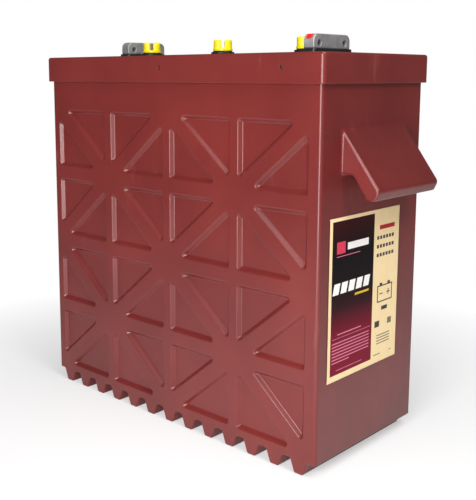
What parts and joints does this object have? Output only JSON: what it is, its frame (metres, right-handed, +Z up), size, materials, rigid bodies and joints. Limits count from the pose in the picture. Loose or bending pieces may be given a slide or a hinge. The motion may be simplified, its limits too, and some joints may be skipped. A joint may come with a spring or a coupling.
{
  "type": "deep cycle battery",
  "caption": "Tall flooded deep cycle battery: maroon ribbed case with star panels, skirted lid, moulded hand hoods, bolted lead terminals and yellow bayonet vent caps.",
  "frame": {"origin": "middle of the footprint, on the floor under the case's ribs", "axes": "+X along the case towards the labelled end, -Y out of the front long side, +Z up"},
  "size_m": [0.691, 0.264, 0.607],
  "materials": {
    "case_moulding": "satin moulded polyethylene, maroon",
    "lid_moulding": "satin moulded polyethylene, maroon",
    "screw_steel": "dark oxidised steel",
    "label_print": "printed film, semi-gloss",
    "terminal_lead": "cast lead, dull grey",
    "black_moulding": "satin black",
    "polarity_red": "gloss red",
    "jar_plastic": "natural polypropylene",
    "cover_plastic": "satin black polypropylene",
    "positive_plate": "brown lead dioxide paste",
    "negative_plate": "grey sponge lead",
    "separator_sheet": "porous sheet",
    "strap_lead": "cast lead",
    "seal_rubber": "black rubber",
    "vent_yellow": "bright yellow polypropylene",
    "baffle_plastic": "white polypropylene"
  },
  "bodies": {
    "battery": {"outer_case": "case_moulding", "case_lid": "lid_moulding", "lid_screws": "screw_steel", "end_label": "label_print", "terminal_positive": "terminal_lead", "terminal_base_positive": "black_moulding", "terminal_negative": "terminal_lead", "terminal_base_negative": "black_moulding", "polarity_mark_positive": "polarity_red", "cell_jar_1": "jar_plastic", "cell_jar_2": "jar_plastic", "cell_jar_3": "jar_plastic", "cell_cover_1": "cover_plastic", "cell_cover_2": "cover_plastic", "cell_cover_3": "cover_plastic", "plate_rest_1": "jar_plastic", "plate_rest_2": "jar_plastic", "plate_rest_3": "jar_plastic", "positive_plates_1": "positive_plate", "positive_plates_2": "positive_plate", "positive_plates_3": "positive_plate", "negative_plates_1": "negative_plate", "negative_plates_2": "negative_plate", "negative_plates_3": "negative_plate", "separators_1": "separator_sheet", "separators_2": "separator_sheet", "separators_3": "separator_sheet", "positive_strap_1": "strap_lead", "positive_strap_2": "strap_lead", "positive_strap_3": "strap_lead", "negative_strap_1": "strap_lead", "negative_strap_2": "strap_lead", "negative_strap_3": "strap_lead", "plate_guard_1": "jar_plastic", "plate_guard_2": "jar_plastic", "plate_guard_3": "jar_plastic", "post_seals_1": "seal_rubber", "post_seals_2": "seal_rubber", "post_seals_3": "seal_rubber", "vent_neck_1": "black_moulding", "vent_neck_2": "black_moulding", "vent_neck_3": "black_moulding", "intercell_link_1_2": "strap_lead", "intercell_link_2_3": "strap_lead"},
    "gasket_1": {"vent_gasket_1": "seal_rubber"},
    "gasket_2": {"vent_gasket_2": "seal_rubber"},
    "gasket_3": {"vent_gasket_3": "seal_rubber"},
    "cap_1": {"vent_cap_1": "vent_yellow", "vent_baffle_1": "baffle_plastic"},
    "cap_2": {"vent_cap_2": "vent_yellow", "vent_baffle_2": "baffle_plastic"},
    "cap_3": {"vent_cap_3": "vent_yellow", "vent_baffle_3": "baffle_plastic"}
  },
  "joints": [
    {"name": "vent_lift_1", "type": "slide", "parent": "battery", "child": "gasket_1", "axis": [0, 0, 1], "range_m": [0, 0.06]},
    {"name": "vent_turn_1", "type": "hinge", "parent": "gasket_1", "child": "cap_1", "pos_m": [-0.168, 0, 0.587], "axis": [0, 0, 1], "range_deg": [-90, 0]},
    {"name": "vent_lift_2", "type": "slide", "parent": "battery", "child": "gasket_2", "axis": [0, 0, 1], "range_m": [0, 0.06]},
    {"name": "vent_turn_2", "type": "hinge", "parent": "gasket_2", "child": "cap_2", "pos_m": [0, 0, 0.587], "axis": [0, 0, 1], "range_deg": [-90, 0]},
    {"name": "vent_lift_3", "type": "slide", "parent": "battery", "child": "gasket_3", "axis": [0, 0, 1], "range_m": [0, 0.06]},
    {"name": "vent_turn_3", "type": "hinge", "parent": "gasket_3", "child": "cap_3", "pos_m": [0.168, 0, 0.587], "axis": [0, 0, 1], "range_deg": [-90, 0]}
  ]
}
